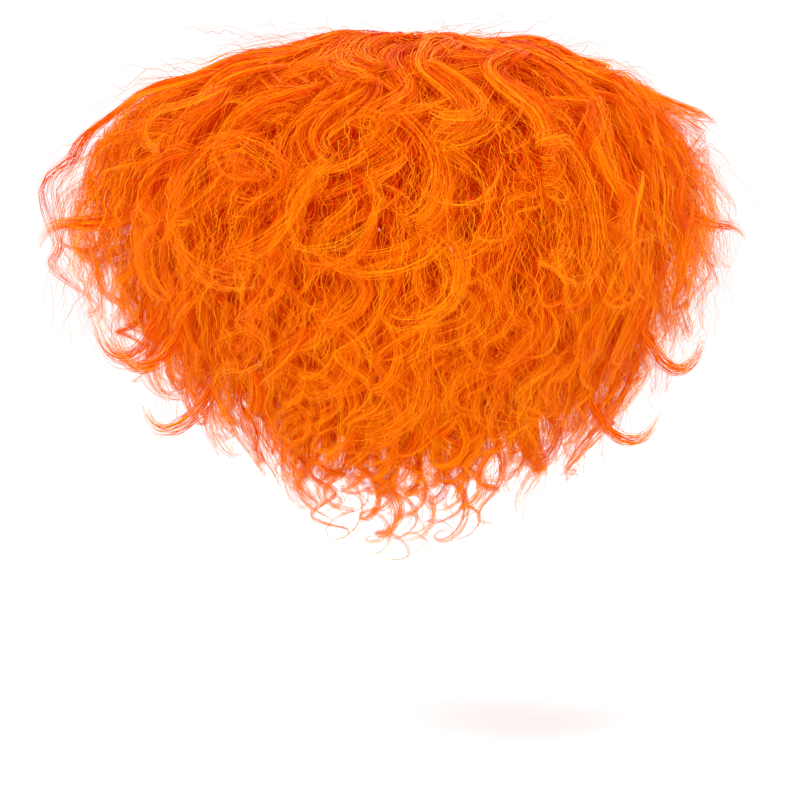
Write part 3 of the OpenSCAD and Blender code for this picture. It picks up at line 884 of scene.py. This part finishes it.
def hanging_curls(count=90):
    """Separate curly locks that hang below the nape and at the sides."""
    middle = rng.uniform(0, 1, count) < 0.7
    turn = np.where(middle, rng.normal(267, 22, count), rng.uniform(184, 356, count))
    share = np.where(middle, rng.uniform(0.0, 0.3, count), rng.uniform(0.3, 0.7, count))
    last = rng.uniform(0.9, 1.1, count) + 0.12 * (rng.uniform(0, 1, count) < 0.25)
    curl, wave = rng.uniform(6, 11, count), rng.uniform(50, 80, count)
    curls = curled_guides(rng, turn, share, np.full(count, 0.25), last, curl, wave, 44, own=2.0)
    curls = offset_paths(rng, curls, 40, rng.uniform(2.4, 4.6, count), 0.7, CURL_WAVES, 0.6, 0.75)
    add_strands("hanging_curls", cut_short(rng, curls, 0.75, 1.0), CURL_FIBRE, OUTER)


def fringe(count=34):
    """Shorter hair that falls over the front band."""
    turn = rng.uniform(42, 138, count)
    share = rng.uniform(0.62, 0.86, count)
    last = rng.uniform(0.7, 0.86, count)
    curl, wave = rng.uniform(5, 9, count), rng.uniform(60, 90, count)
    first = np.zeros(count)
    aside = rng.uniform(-0.15, 0.3, (count, 1))
    locks = curled_guides(rng, turn, share, first, last, curl, wave, 44, own=1.5, sweep=aside)
    locks = offset_paths(rng, locks, 90, rng.uniform(9, 15, count), 0.5, LOCK_WAVES, 1.2, 0.5)
    add_strands("fringe", cut_short(rng, locks, 0.7, 1.0), FIBRE, OUTER)


def crown_locks(count=16):
    """Locks that cross the parting."""
    turn = rng.uniform(55, 125, count)
    share = rng.uniform(0.88, 1.07, count)
    last = rng.uniform(0.5, 0.85, count)
    curl, wave = rng.uniform(5, 10, count), rng.uniform(75, 110, count)
    aside = rng.uniform(-0.2, 0.6, (count, 1))
    first = np.zeros(count)
    locks = curled_guides(rng, turn, share, first, last, curl, wave, 48, own=1.0, sweep=aside)
    locks = offset_paths(rng, locks, 100, rng.uniform(9, 15, count), 0.5, LOCK_WAVES, 1.2, 0.5)
    add_strands("crown_locks", cut_short(rng, locks, 0.7, 1.0), FIBRE, OUTER)


# Stray curls that stand out on their own: turn, share, start, end, curl radius, wavelength
STRAYS = np.array(
    [
        [183, 0.66, 0.35, 1.05, 12, 60],
        [176, 0.60, 0.30, 1.00, 13, 70],
        [188, 0.52, 0.30, 1.08, 11, 55],
        [356, 0.70, 0.35, 1.02, 12, 62],
        [348, 0.58, 0.30, 1.05, 11, 55],
        [264, 0.12, 0.30, 1.26, 8, 62],
        [269, 0.06, 0.30, 1.20, 9, 55],
        [258, 0.10, 0.30, 1.22, 8, 50],
        [238, 0.22, 0.30, 1.24, 9, 58],
        [243, 0.26, 0.30, 1.20, 8, 52],
        [288, 0.20, 0.30, 1.20, 8, 50],
        [296, 0.24, 0.30, 1.18, 7, 55],
    ]
)
# Flicks, which turn up or out at the sides: root, two handles and tip in mm
FLICKS = np.array(
    [
        [(-150, -40, 70), (-205, -50, 12), (-214, -60, 52), (-233, -62, 20)],
        [(-150, -60, 50), (-200, -70, 22), (-210, -70, 44), (-228, -70, 32)],
        [(-140, -70, 10), (-160, -90, -62), (-188, -90, -58), (-194, -92, -14)],
        [(-130, -80, 0), (-150, -96, -70), (-176, -98, -60), (-182, -98, -24)],
        [(-110, -60, -30), (-128, -80, -96), (-160, -84, -104), (-164, -86, -72)],
        [(150, -40, 70), (188, -50, 14), (190, -60, 48), (208, -62, 24)],
        [(130, -60, 0), (150, -80, -70), (172, -84, -62), (176, -88, -28)],
        [(100, -60, -40), (112, -80, -106), (142, -84, -108), (150, -86, -78)],
    ],
    dtype=float,
)


def stray_curls():
    curls = curled_guides(rng, *STRAYS.T, 48, own=1.5)
    curls = offset_paths(rng, curls, 48, np.full(len(STRAYS), 2.8), 0.7, CURL_WAVES, 0.55, 0.75)
    add_strands("stray_curls", cut_short(rng, curls, 0.72, 1.0), CURL_FIBRE, OUTER)


def flicks():
    along = np.linspace(0, 1, 44)[None, :, None]
    locks = bezier(*(FLICKS[:, i, None] for i in range(4)), along)
    locks = offset_paths(rng, locks, 42, np.full(len(FLICKS), 6.5), 0.7, FLICK_WAVES, 1.1, 0.6)
    add_strands("flicks", cut_short(rng, locks, 0.72, 1.0), FIBRE, OUTER)


def any_root(count, top):
    """Random places to root fibres at, up to a share of the crown: turns and shares."""
    share = rng.uniform(0, top, count) ** 0.8
    reach = np.interp(share, np.linspace(0, 1, ROWS), ROW_REACH)
    return 270 + rng.uniform(-1, 1, count) * reach, share


def under_hair(count=7000):
    """The dense inner body, seen between the locks, in a darker red that is painted shade."""
    turn, share = any_root(count, 1)
    first, last = np.full(count, 0.02), rng.uniform(0.5, 0.74, count)
    curl, wave = rng.uniform(3, 6, count), rng.uniform(60, 100, count)
    fibres = curled_guides(rng, turn, share * 0.88, first, last, curl, wave, 26)
    add_strands("under_hair", any_way(rng, fibres), UNDER_FIBRE, SHADED_HAIR)


def frizz(count):
    """Single crinkled fibres that stand out of the locks."""
    turn, share = any_root(count, 1.03)
    first = rng.uniform(0.05, 0.8, count)
    last = first + rng.uniform(0.15, 0.3, count)
    curl, wave = rng.uniform(1, 8, count), rng.uniform(60, 110, count)
    fibres = under_crown(curled_guides(rng, turn, share, first, last, curl, wave, 30))
    run = lengths(fibres)
    _, side, out = frames(fibres)
    crinkle = ripples(rng, count, run, [26, 15], 1.6) * smooth(run / 15)[..., None]
    drift = rng.normal(0, 9, (count, 1, 3)) * (run / 60)[..., None] ** 1.4
    fibres = fibres + side * crinkle[..., :1] + out * crinkle[..., 1:] + drift
    add_strands("frizz", any_way(rng, fibres), FRIZZ_FIBRE, PALE, free=True)


def fly_aways(count=1700):
    """Fibres that lift off the crown and break its outline."""
    share = rng.uniform(0.62, 1.04, count)
    turn = rng.uniform(90, 450, count) % 360
    first = rng.uniform(0.0, 0.45, count)
    last = first + rng.uniform(0.12, 0.3, count)
    curl, wave = rng.uniform(3, 9, count), rng.uniform(40, 80, count)
    fibres = under_crown(curled_guides(rng, turn, share, first, last, curl, wave, 22, own=2.0))
    run = lengths(fibres)
    lifted = rng.uniform(0.0, 7.0, (count, 1, 3)) * [0, 0, 1] * smooth(run / 30)[..., None]
    drift = lifted + rng.normal(0, 6, (count, 1, 3)) * (run / 60)[..., None]
    add_strands("fly_aways", any_way(rng, fibres + drift), STRAY_FIBRE, PALE, free=True)


def crown_whorl(count=16):
    """Short locks that close the crown over the top of the net."""
    turn = 360 * (np.arange(count) + rng.uniform(0.1, 0.9, count)) / count
    share = rng.uniform(1.06, 1.1, count)
    first, last = np.zeros(count), rng.uniform(0.3, 0.5, count)
    curl, wave = rng.uniform(4, 8, count), rng.uniform(60, 90, count)
    locks = curled_guides(rng, turn, share, first, last, curl, wave, 26, own=1.0, sweep=0.3)
    locks = offset_paths(rng, locks, 60, rng.uniform(10, 15, count), 0.5, LOCK_WAVES, 1.4, 0.4)
    add_strands("crown_whorl", cut_short(rng, locks, 0.7, 1.0), WHORL_FIBRE, OUTER)


for row in range(ROWS):
    hair_row(row)
hanging_curls()
fringe()
crown_locks()
stray_curls()
flicks()
under_hair()
frizz(11500)
fly_aways()
crown_whorl()

# ---- Floor, light and camera, in metres ----
FLOOR_Z, FLOOR_HALF = -0.308, 6.0
KEY, FILL, TOP = (-0.9, -1.7, 1.5), (1.4, -1.5, 0.7), (0.1, -0.2, 1.8)
CAMERA_PLACE, CAMERA_AIM, LENS, SENSOR = (-0.008, -1.5, 0.03), (-0.008, 0, -0.078), 105, 36


def floor():
    mesh = bpy.data.meshes.new("floor")
    half = FLOOR_HALF
    corners = [(-half, -half), (half, -half), (half, half), (-half, half)]
    mesh.from_pydata([(x, y, FLOOR_Z) for x, y in corners], [], [(0, 1, 2, 3)])
    obj = bpy.data.objects.new("floor", mesh)
    bpy.context.scene.collection.objects.link(obj)
    material, _, _, shader = new_material("floor_white")
    shader.inputs["Base Color"].default_value = (1, 1, 1, 1)
    shader.inputs["Roughness"].default_value = 0.8
    mesh.materials.append(material)


def aimed(obj, place, at):
    """Puts an object at a place, facing another, and adds it to the scene."""
    obj.location = place
    obj.rotation_euler = (Vector(at) - Vector(place)).to_track_quat("-Z", "Y").to_euler()
    bpy.context.scene.collection.objects.link(obj)


def area_light(name, place, size, power):
    data = bpy.data.lights.new(name, "AREA")
    data.shape = "SQUARE"
    data.size = size
    data.energy = power
    aimed(bpy.data.objects.new(name, data), place, (0, 0, 0))


def white_world():
    world = bpy.data.worlds.new("studio")
    world.use_nodes = True
    background = world.node_tree.nodes["Background"]
    background.inputs["Color"].default_value = (1, 1, 1, 1)
    background.inputs["Strength"].default_value = 1.0
    bpy.context.scene.world = world
    bpy.context.scene.view_settings.view_transform = "Standard"


def camera():
    data = bpy.data.cameras.new("camera")
    data.sensor_width = SENSOR
    data.lens = LENS
    obj = bpy.data.objects.new("camera", data)
    aimed(obj, CAMERA_PLACE, CAMERA_AIM)
    bpy.context.scene.camera = obj


floor()
area_light("key", KEY, 0.6, 27)
area_light("fill", FILL, 1.0, 5)
area_light("top", TOP, 1.0, 12)
white_world()
camera()
